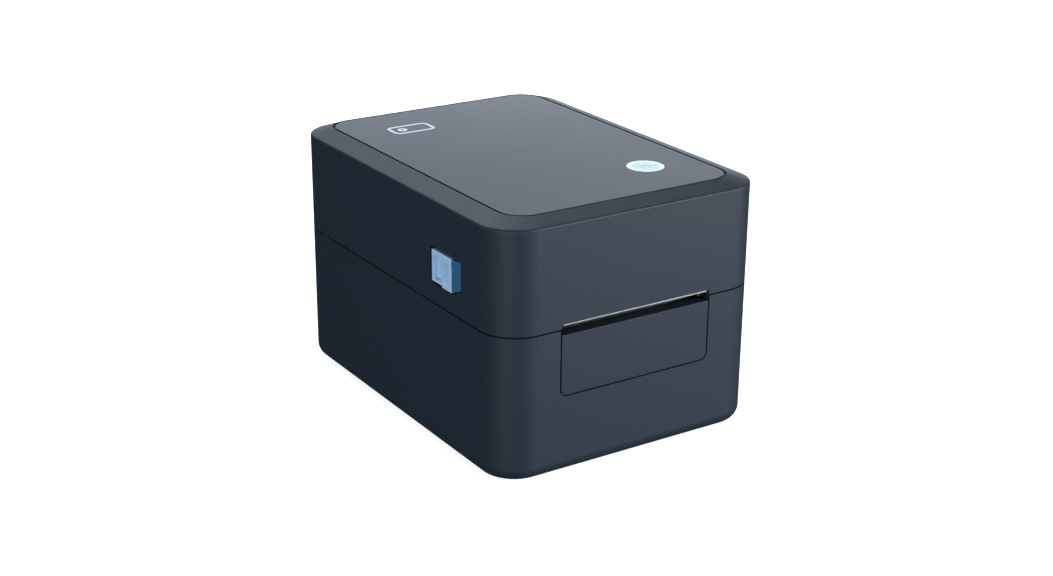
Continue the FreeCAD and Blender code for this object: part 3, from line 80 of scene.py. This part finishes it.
def make_camera():
    data = bpy.data.cameras.new("camera")
    data.lens, data.sensor_width = LENS_MM, SENSOR_MM
    data.clip_start, data.clip_end = CLIP_NEAR, CLIP_FAR
    camera = bpy.data.objects.new("camera", data)
    scene.collection.objects.link(camera)
    camera.matrix_world = (Matrix.Translation(AIM)
                           @ turned_view(VIEW_AZIMUTH, VIEW_ELEVATION, VIEW_ROLL)
                           @ Matrix.Translation((0, 0, VIEW_DISTANCE)))
    scene.camera = camera


def make_softbox(name, tint, azimuth, elevation, distance, width, height, radiance):
    """An area lamp aimed at the object; azimuth 0 is in front of it, and 90 on its right."""
    data = bpy.data.lights.new(name, "AREA")
    data.shape, data.size, data.size_y = "RECTANGLE", width, height
    data.energy = radiance * math.pi * width * height
    data.color = tint
    lamp = bpy.data.objects.new(name, data)
    scene.collection.objects.link(lamp)
    lamp.matrix_world = (Matrix.Translation(AIM) @ turned_view(azimuth, elevation, 0)
                         @ Matrix.Translation((0, 0, distance)))
    lamp.visible_camera = False


def make_backdrop():
    """A pale floor that curves up into a wall all round."""
    mesh = bmesh.new()
    profile = [(FLOOR_RADIUS * i / FLOOR_RINGS, 0.0) for i in range(1, FLOOR_RINGS + 1)]
    for i in range(1, WALL_RINGS + 1):
        turn = math.pi / 2 * i / WALL_RINGS
        profile.append((FLOOR_RADIUS + WALL_RISE * math.sin(turn), WALL_RISE * (1 - math.cos(turn))))
    centre = mesh.verts.new((0, 0, 0))
    angles = [FULL_TURN * k / WALL_SECTORS for k in range(WALL_SECTORS)]
    loops = [[mesh.verts.new((r * math.cos(a), r * math.sin(a), z)) for a in angles] for r, z in profile]
    for k in range(WALL_SECTORS):
        following = (k + 1) % WALL_SECTORS
        mesh.faces.new((centre, loops[0][k], loops[0][following]))
        for inner, outer in zip(loops, loops[1:]):
            mesh.faces.new((inner[k], outer[k], outer[following], inner[following]))
    data = bpy.data.meshes.new("backdrop")
    mesh.to_mesh(data)
    mesh.free()
    data.shade_smooth()
    backdrop = bpy.data.objects.new("backdrop", data)
    scene.collection.objects.link(backdrop)
    backdrop.visible_glossy = False
    backdrop.visible_diffuse = False
    return backdrop


def make_world(colour, strength):
    world = bpy.data.worlds.new("studio")
    world.use_nodes = True
    background = world.node_tree.nodes["Background"]
    background.inputs["Color"].default_value = (*colour, 1)
    background.inputs["Strength"].default_value = strength
    scene.world = world


make_camera()
make_world(WORLD_COLOUR, WORLD_STRENGTH)
make_softbox("softbox_rear", REAR_TINT, azimuth=143, elevation=7, distance=1.9,
             width=2.2, height=0.56, radiance=2.7)
make_softbox("softbox_high", REAR_TINT, azimuth=166, elevation=46, distance=1.8,
             width=2.2, height=0.7, radiance=5.6)
make_softbox("softbox_front", FRONT_TINT, azimuth=38, elevation=6, distance=2.5,
             width=1.9, height=1.3, radiance=14.8)
make_softbox("softbox_corner", FRONT_TINT, azimuth=-55, elevation=2, distance=2.5,
             width=0.5, height=1.1, radiance=32.0)
make_softbox("softbox_left", SIDE_TINT, azimuth=-99, elevation=22, distance=1.8,
             width=0.9, height=0.9, radiance=1.6)
backdrop = make_backdrop()


# ---------------------------------------------------------------- material building blocks
# Typical sizes of flow marks and handled patches in plastic, tarnish clouds in metal, dust on rubber.
FLOW_MM, HANDLED_MM = 34, 11
CLOUD_MM, DUST_MM = 9, 6
# Cosines between the true and the rounded normal where an edge starts to show and where it fully shows.
EDGE_START, EDGE_FULL = 0.985, 0.90
METAL_EDGE_MM, RUBBER_EDGE_MM = 0.2, 0.3
BOARD_RUN_MM, BOARD_VIA_MM = 4.2, 5.5


class Finish:
    """A material under way: its node tree, its shader and the object's own coordinates."""

    def __init__(self, name):
        self.material = bpy.data.materials.new(name)
        self.material.use_nodes = True
        self.tree = self.material.node_tree
        self.shader = self.tree.nodes["Principled BSDF"]
        self.place = self.node("TexCoord").outputs["Object"]

    def node(self, kind, settings=None, **inputs):
        made = self.tree.nodes.new("ShaderNode" + kind)
        for name, value in (settings or {}).items():
            setattr(made, name, value)
        for name, value in inputs.items():
            self.feed(made.inputs[name.replace("_", " ")], value)
        return made

    def feed(self, socket, value):
        if isinstance(value, bpy.types.NodeSocket):
            self.tree.links.new(value, socket)
        else:
            socket.default_value = value

    def set(self, **inputs):
        for name, value in inputs.items():
            self.feed(self.shader.inputs[name.replace("_", " ")], value)

    def stretched(self, x, y, z):
        """Object coordinates with each axis scaled."""
        return self.node("Mapping", Vector=self.place, Scale=(x, y, z)).outputs["Vector"]

    def noise(self, size_mm, detail=2.0, roughness=0.5, place=None):
        """Noise from 0 to 1 whose features are about size_mm across."""
        texture = self.node("TexNoise", Vector=place or self.place, Scale=1 / (size_mm * MM),
                            Detail=detail, Roughness=roughness)
        return texture.outputs["Fac"]

    def ramp(self, value, low, high, low_out=0.0, high_out=1.0):
        made = self.node("MapRange", Value=value, From_Min=low, From_Max=high,
                         To_Min=low_out, To_Max=high_out)
        return made.outputs["Result"]

    def sum(self, first, second, kind="ADD"):
        made = self.node("Math", {"operation": kind})
        self.feed(made.inputs[0], first)
        self.feed(made.inputs[1], second)
        return made.outputs[0]

    def mix(self, amount, first, second):
        made = self.node("Mix", {"data_type": "RGBA"})
        self.feed(made.inputs[0], amount)
        self.feed(made.inputs[6], first)
        self.feed(made.inputs[7], second)
        return made.outputs[2]

    def tinted(self, colour, amount, value):
        """The colour, up to amount darker and lighter as value goes from 0 to 1."""
        dark = tuple(c * (1 - amount) for c in colour) + (1,)
        light = tuple(min(c * (1 + amount), 1) for c in colour) + (1,)
        return self.mix(value, dark, light)

    def edges(self, radius_mm):
        """A rounded normal, and a mask that is 1 on sharp edges and 0 on flats."""
        rounded = self.node("Bevel", {"samples": 4}, Radius=radius_mm * MM).outputs["Normal"]
        true = self.node("NewGeometry").outputs["Normal"]
        dot = self.node("VectorMath", {"operation": "DOT_PRODUCT"})
        self.feed(dot.inputs[0], rounded)
        self.feed(dot.inputs[1], true)
        return rounded, self.ramp(dot.outputs["Value"], EDGE_START, EDGE_FULL)

    def bump(self, height, depth_mm, normal=None):
        made = self.node("Bump", Height=height, Distance=depth_mm * MM, Strength=1.0)
        if normal is not None:
            self.feed(made.inputs["Normal"], normal)
        self.set(Normal=made.outputs["Normal"])


def moulded(name, colour, roughness, grain_mm=0.45, grain_depth=0.012, edge_mm=0.25, worn=0.04,
            mottle=0.03, specular=0.42, handling=0.012):
    """Moulded plastic: spark-eroded grain, faint flow mottling, handled areas, and edges lightened both
    as wear and as painted highlight.
    """
    f = Finish(name)
    rounded, edge = f.edges(edge_mm)
    flow = f.noise(FLOW_MM, 3.0, 0.55)
    handled = f.noise(HANDLED_MM, 4.0, 0.6)
    grain = f.noise(grain_mm, 3.0, 0.65)
    base = f.tinted(colour, mottle, flow)
    base = f.mix(f.ramp(grain, 0.35, 0.65, 0, 0.10), base, tuple(c * 0.6 for c in colour) + (1,))
    # Edges are lightened where handled: real wear where worn is small, and a painted highlight standing
    # in for light caught on the edges where worn is large, as on the latch pads.
    rubbed_and_highlit = tuple(min(c * (1 + 6 * worn) + 0.01 * worn, 1) for c in colour) + (1,)
    wear_and_highlight_mask = f.sum(edge, f.ramp(handled, 0.35, 0.6), "MULTIPLY")
    f.set(Base_Color=f.mix(wear_and_highlight_mask, base, rubbed_and_highlit))
    spread = f.ramp(handled, 0.3, 0.7, roughness - handling, roughness + handling)
    f.set(Roughness=f.sum(spread, f.sum(edge, -0.04, "MULTIPLY")))
    f.set(Specular_IOR_Level=specular)
    f.bump(grain, grain_depth, rounded)
    return f.material


def metal(name, colour, roughness, brushed=(1, 1, 1), brush_mm=0.5, depth=0.004, tarnish=0.12):
    """Metal with brushing or rolling marks along the axes whose scale is small, and soft tarnish."""
    f = Finish(name)
    rounded, edge = f.edges(METAL_EDGE_MM)
    streaks = f.noise(brush_mm, 3.0, 0.6, f.stretched(*brushed))
    cloud = f.noise(CLOUD_MM, 4.0, 0.6)
    worn = f.tinted(colour, tarnish, cloud)
    bright = tuple(min(c * 1.15, 1) for c in colour) + (1,)
    f.set(Base_Color=f.mix(edge, worn, bright), Metallic=1.0)
    f.set(Roughness=f.sum(f.ramp(streaks, 0.3, 0.7, roughness - 0.06, roughness + 0.06),
                          f.ramp(cloud, 0.3, 0.7, -0.04, 0.06)))
    f.bump(streaks, depth, rounded)
    return f.material


def rubber(name, colour, roughness, grain_mm=0.6, depth=0.02):
    """Rubber: dull, pitted, with pale dust in patches."""
    f = Finish(name)
    rounded = f.edges(RUBBER_EDGE_MM)[0]
    dust = f.noise(DUST_MM, 5.0, 0.65)
    pits = f.noise(grain_mm, 4.0, 0.7)
    pale = tuple(c * 1.6 + 0.012 for c in colour) + (1,)
    f.set(Base_Color=f.mix(f.ramp(dust, 0.45, 0.75, 0, 0.5), f.tinted(colour, 0.15, pits), pale))
    f.set(Roughness=f.ramp(dust, 0.3, 0.7, roughness - 0.05, roughness + 0.06))
    f.bump(pits, depth, rounded)
    return f.material


def circuit_board(name):
    """Green solder mask over copper runs, with tinned vias."""
    f = Finish(name)
    cells = f.node("TexVoronoi", {"feature": "DISTANCE_TO_EDGE"}, Vector=f.place,
                   Scale=1 / (BOARD_RUN_MM * MM))
    runs = f.ramp(cells.outputs["Distance"], 0.05, 0.09, 1, 0)
    holes = f.node("TexVoronoi", {"feature": "F1"}, Vector=f.place, Scale=1 / (BOARD_VIA_MM * MM))
    vias = f.ramp(holes.outputs["Distance"], 0.10, 0.13, 1, 0)
    mask = f.mix(runs, (0.006, 0.060, 0.022, 1), (0.015, 0.130, 0.045, 1))
    f.set(Base_Color=f.mix(vias, mask, (0.55, 0.53, 0.48, 1)))
    f.set(Metallic=vias, Roughness=f.ramp(f.noise(5), 0.3, 0.7, 0.30, 0.42))
    f.bump(runs, 0.03)
    return f.material


def glowing(name, colour, glow, strength, roughness=0.3):
    """Frosted light-guide plastic, lit from below."""
    f = Finish(name)
    cloud = f.noise(3.5, 3.0)
    f.set(Base_Color=f.tinted(colour, 0.04, cloud))
    f.set(Emission_Color=f.tinted(glow, 0.05, cloud), Emission_Strength=strength)
    f.set(Roughness=f.ramp(f.noise(0.8), 0.3, 0.7, roughness - 0.05, roughness + 0.05))
    f.bump(f.noise(0.5), 0.006)
    return f.material


def printed_ink(name, colour):
    """Screen-printed ink with a slight orange-peel surface."""
    f = Finish(name)
    f.set(Base_Color=f.tinted(colour, 0.05, f.noise(1.4, 3.0)))
    f.set(Roughness=f.ramp(f.noise(0.7), 0.3, 0.7, 0.36, 0.48))
    f.bump(f.noise(0.35), 0.004)
    return f.material


# ---------------------------------------------------------------- finishes by material slot
SLATE = (0.0138, 0.0210, 0.0335)
FINISHES = {
    "body_plastic": moulded("body_plastic", SLATE, 0.54, specular=0.31),
    "panel_plastic": moulded("panel_plastic", (0.0120, 0.0200, 0.0330), 0.30, grain_depth=0.006,
                             specular=0.40),
    "inner_plastic": moulded("inner_plastic", (0.0105, 0.0120, 0.0145), 0.52, grain_depth=0.018),
    "liner_plastic": moulded("liner_plastic", (0.0135, 0.0155, 0.0190), 0.50, grain_depth=0.018),
    # latch_dark: a darker copy of the latch blue for the latch's front bevel, standing in for the shade
    # that face lies in; painted shade.
    "latch_dark": moulded("latch_dark", (0.030, 0.110, 0.240), 0.30, grain_depth=0.003),
    # latch_blue: the large worn and edge_mm lighten the pad's rims as a painted highlight, not as wear.
    "latch_blue": moulded("latch_blue", (0.400, 0.600, 0.820), 0.26, grain_depth=0.003, edge_mm=0.5,
                          worn=0.16),
    "holder_plastic": moulded("holder_plastic", (0.020, 0.052, 0.110), 0.36, grain_depth=0.006),
    "gear_plastic": moulded("gear_plastic", (0.62, 0.60, 0.54), 0.38, grain_depth=0.004, mottle=0.04,
                            worn=0.02),
    "foot_rubber": rubber("foot_rubber", (0.012, 0.012, 0.013), 0.78),
    "roller_rubber": rubber("roller_rubber", (0.016, 0.016, 0.018), 0.62, grain_mm=0.25, depth=0.008),
    "plated_steel": metal("plated_steel", (0.62, 0.62, 0.60), 0.30, brushed=(1, 0.06, 1), brush_mm=0.6),
    "ground_steel": metal("ground_steel", (0.58, 0.58, 0.58), 0.20, brushed=(12, 1, 1), brush_mm=0.9,
                          depth=0.002),
    "screw_steel": metal("screw_steel", (0.45, 0.45, 0.46), 0.30),
    "spring_steel": metal("spring_steel", (0.40, 0.40, 0.41), 0.28),
    "tear_steel": metal("tear_steel", (0.31, 0.34, 0.37), 0.46, brushed=(0.05, 1, 1), brush_mm=0.4),
    "bearing_bronze": metal("bearing_bronze", (0.52, 0.34, 0.15), 0.40),
    "sink_aluminium": metal("sink_aluminium", (0.66, 0.67, 0.68), 0.34, brushed=(0.04, 1, 1)),
    "cast_aluminium": metal("cast_aluminium", (0.56, 0.57, 0.58), 0.45, depth=0.02),
    "stator_black": metal("stator_black", (0.05, 0.05, 0.055), 0.48, brush_mm=0.4, depth=0.015),
    "head_ceramic": moulded("head_ceramic", (0.42, 0.38, 0.34), 0.16, grain_mm=1.2, grain_depth=0.001,
                            edge_mm=0.15, worn=0.01),
    "board_green": circuit_board("board_green"),
    "chip_black": moulded("chip_black", (0.012, 0.012, 0.013), 0.45, grain_mm=0.3, grain_depth=0.006,
                          edge_mm=0.1),
    "capacitor_sleeve": moulded("capacitor_sleeve", (0.010, 0.012, 0.020), 0.24, grain_mm=1.0,
                                grain_depth=0.002, edge_mm=0.1),
    "port_metal": metal("port_metal", (0.66, 0.65, 0.62), 0.28),
    "port_plastic": moulded("port_plastic", (0.010, 0.010, 0.011), 0.40, grain_mm=0.3,
                            grain_depth=0.006, edge_mm=0.15),
    "switch_plastic": moulded("switch_plastic", (0.011, 0.011, 0.012), 0.30, grain_mm=0.5,
                              grain_depth=0.003, edge_mm=0.2),
    "connector_plastic": moulded("connector_plastic", (0.60, 0.57, 0.48), 0.40, grain_mm=0.4,
                                 grain_depth=0.004, edge_mm=0.1, worn=0.02),
    "cable_sleeve": moulded("cable_sleeve", (0.012, 0.012, 0.012), 0.46, grain_mm=0.5,
                            grain_depth=0.006, edge_mm=0.1),
    "ring_light": glowing("ring_light", (0.68, 0.74, 0.76), (0.80, 0.93, 0.97), 0.38),
    "button_face": glowing("button_face", (0.52, 0.69, 0.67), (0.50, 0.73, 0.69), 0.30),
    "lamp_white": glowing("lamp_white", (0.85, 0.85, 0.80), (0.9, 0.97, 1.0), 1.0),
}


def finish_nodes():
    """Each CAD node takes the finish that its material slot names."""
    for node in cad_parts.values():
        for slot in node.material_slots:
            slot.material = FINISHES[slot.material.name.split(".")[0]]


def finish_backdrop():
    f = Finish("backdrop_paper")
    f.set(Base_Color=f.tinted((0.84, 0.84, 0.84), 0.01, f.noise(40)), Roughness=0.9)
    f.set(Emission_Color=(1, 1, 1, 1), Emission_Strength=0.80, Specular_IOR_Level=0.0)
    backdrop.data.materials.append(f.material)


finish_nodes()
finish_backdrop()


# ---------------------------------------------------------------- pieces made here
def add_piece(name, mesh, material, body):
    data = bpy.data.meshes.new(name)
    bmesh.ops.recalc_face_normals(mesh, faces=mesh.faces)
    mesh.to_mesh(data)
    mesh.free()
    data.materials.append(material)
    piece = bpy.data.objects.new(name, data)
    scene.collection.objects.link(piece)
    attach(piece, body)
    return piece


def circle_points(centre, radius, steps, start=0.0, sweep=FULL_TURN):
    """Points along an arc; a full circle doesn't repeat its first point."""
    count = steps if sweep >= FULL_TURN else steps + 1
    return [Vector((centre[0] + radius * math.cos(start + sweep * i / steps),
                    centre[1] + radius * math.sin(start + sweep * i / steps))) for i in range(count)]


def rounded_rectangle(centre, half_x, half_y, radius, steps=8):
    points = []
    for quarter, (sx, sy) in enumerate([(1, 1), (-1, 1), (-1, -1), (1, -1)]):
        corner = (centre[0] + sx * (half_x - radius), centre[1] + sy * (half_y - radius))
        points += circle_points(corner, radius, steps, quarter * math.pi / 2, math.pi / 2)
    return points


def add_stroke(mesh, path, width, low, high, closed):
    """A printed line of even width along a flat path, from height low to high."""
    count = len(path)
    rails = []
    for i, point in enumerate(path):
        before = path[i - 1] if closed or i else path[i]
        after = path[(i + 1) % count] if closed or i < count - 1 else path[i]
        along = (after - before).normalized()
        side = Vector((-along.y, along.x)) * width / 2
        left, right = point + side, point - side
        rails.append([mesh.verts.new((p.x, p.y, z))
                      for p, z in [(left, low), (left, high), (right, high), (right, low)]])
    pairs = list(zip(rails, rails[1:])) + ([(rails[-1], rails[0])] if closed else [])
    for first, second in pairs:
        for k in range(4):
            following = (k + 1) % 4
            mesh.faces.new((first[k], first[following], second[following], second[k]))
    if not closed:
        mesh.faces.new(rails[0])
        mesh.faces.new(rails[-1])


INK_THICKNESS = 0.05 * MM
MARK_FROM_LEFT, MARK_FROM_REAR = 45 * MM, 41 * MM
MARK_HALF_X, MARK_HALF_Y, MARK_CORNER, MARK_LINE = 15 * MM, 8 * MM, 4 * MM, 2.3 * MM
EYELET_INSET, EYELET_RADIUS = 8 * MM, 2.4 * MM

BUTTON_DISH = 0.36 * MM
SYMBOL_SUNK, SYMBOL_PROUD, SYMBOL_LINE = 0.05 * MM, 0.12 * MM, 0.7 * MM
SYMBOL_RADIUS, SYMBOL_HALF_GAP = 3.6 * MM, math.radians(38)
STEM_POINTS = (0.4 * MM, 2.6 * MM, 4.8 * MM)


def make_lid_mark():
    """A plain label outline with an eyelet, printed near the rear left corner of the lid's panel."""
    low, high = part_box("lid_top_panel")
    centre = Vector((low.x + MARK_FROM_LEFT, high.y - MARK_FROM_REAR))
    top = high.z + INK_THICKNESS
    outline = rounded_rectangle(centre, MARK_HALF_X, MARK_HALF_Y, MARK_CORNER)
    eyelet = circle_points(centre - Vector((MARK_HALF_X - EYELET_INSET, 0)), EYELET_RADIUS, 32)
    mesh = bmesh.new()
    for path in (outline, eyelet):
        add_stroke(mesh, path, MARK_LINE, high.z, top, True)
    add_piece("lid_mark", mesh, printed_ink("white_ink", (0.80, 0.83, 0.88)), "lid")


def make_button_symbol():
    """A generic feed sign in the button's dish: an open ring with a stem."""
    low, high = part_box("feed_button")
    centre = Vector(((low.x + high.x) / 2, (low.y + high.y) / 2))
    bottom = high.z - BUTTON_DISH - SYMBOL_SUNK
    top = high.z - BUTTON_DISH + SYMBOL_PROUD
    ring = circle_points(centre, SYMBOL_RADIUS, 40, math.pi / 2 + SYMBOL_HALF_GAP,
                         FULL_TURN - 2 * SYMBOL_HALF_GAP)
    stem = [centre + Vector((0, y)) for y in STEM_POINTS]
    mesh = bmesh.new()
    for path in (ring, stem):
        add_stroke(mesh, path, SYMBOL_LINE, bottom, top, False)
    add_piece("button_symbol", mesh, printed_ink("grey_ink", (0.20, 0.30, 0.31)),
              "feed_button")


WIRE_RADIUS, COIL_RADIUS = 0.5 * MM, 4.0 * MM
OPEN_TURNS, END_TURNS, STEPS_PER_TURN = 5, 0.8, 28
END_EASING = 0.35          # how far the open turns bunch towards the two ends


def helix_path(centre, radius, low, high):
    """A compression spring's centre line: open turns between two closed end turns."""
    points = []
    total = OPEN_TURNS + 2 * END_TURNS
    for i in range(int(total * STEPS_PER_TURN) + 1):
        turn = i / STEPS_PER_TURN
        share = min(max((turn - END_TURNS) / OPEN_TURNS, 0), 1)
        smooth = share * share * (3 - 2 * share)
        height = low + (high - low) * (smooth * END_EASING + share * (1 - END_EASING))
        angle = FULL_TURN * turn
        points.append(Vector((centre[0] + radius * math.cos(angle),
                              centre[1] + radius * math.sin(angle), height)))
    return points


def add_tube(mesh, path, radius, sides=10):
    """A round wire along a path, closed at both ends."""
    rings = []
    up = Vector((0, 0, 1))
    for i, point in enumerate(path):
        along = (path[min(i + 1, len(path) - 1)] - path[max(i - 1, 0)]).normalized()
        side = along.cross(up).normalized()
        other = side.cross(along)
        rings.append([mesh.verts.new(point + (side * math.cos(a) + other * math.sin(a)) * radius)
                      for a in (FULL_TURN * k / sides for k in range(sides))])
    for first, second in zip(rings, rings[1:]):
        for k in range(sides):
            following = (k + 1) % sides
            mesh.faces.new((first[k], first[following], second[following], second[k]))
    mesh.faces.new(rings[0])
    mesh.faces.new(rings[-1])


def make_head_springs():
    """The two wound springs between the lid and the sprung head."""
    low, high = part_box("head_springs")
    middle_y = (low.y + high.y) / 2
    inset = COIL_RADIUS + WIRE_RADIUS
    mesh = bmesh.new()
    for x in (low.x + inset, high.x - inset):
        path = helix_path((x, middle_y), COIL_RADIUS, low.z + WIRE_RADIUS, high.z - WIRE_RADIUS)
        add_tube(mesh, path, WIRE_RADIUS)
    springs = add_piece("head_spring_coils", mesh, FINISHES["spring_steel"], "lid")
    springs.data.shade_smooth()
    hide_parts("head_springs")
    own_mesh(springs)


make_lid_mark()
make_button_symbol()
make_head_springs()
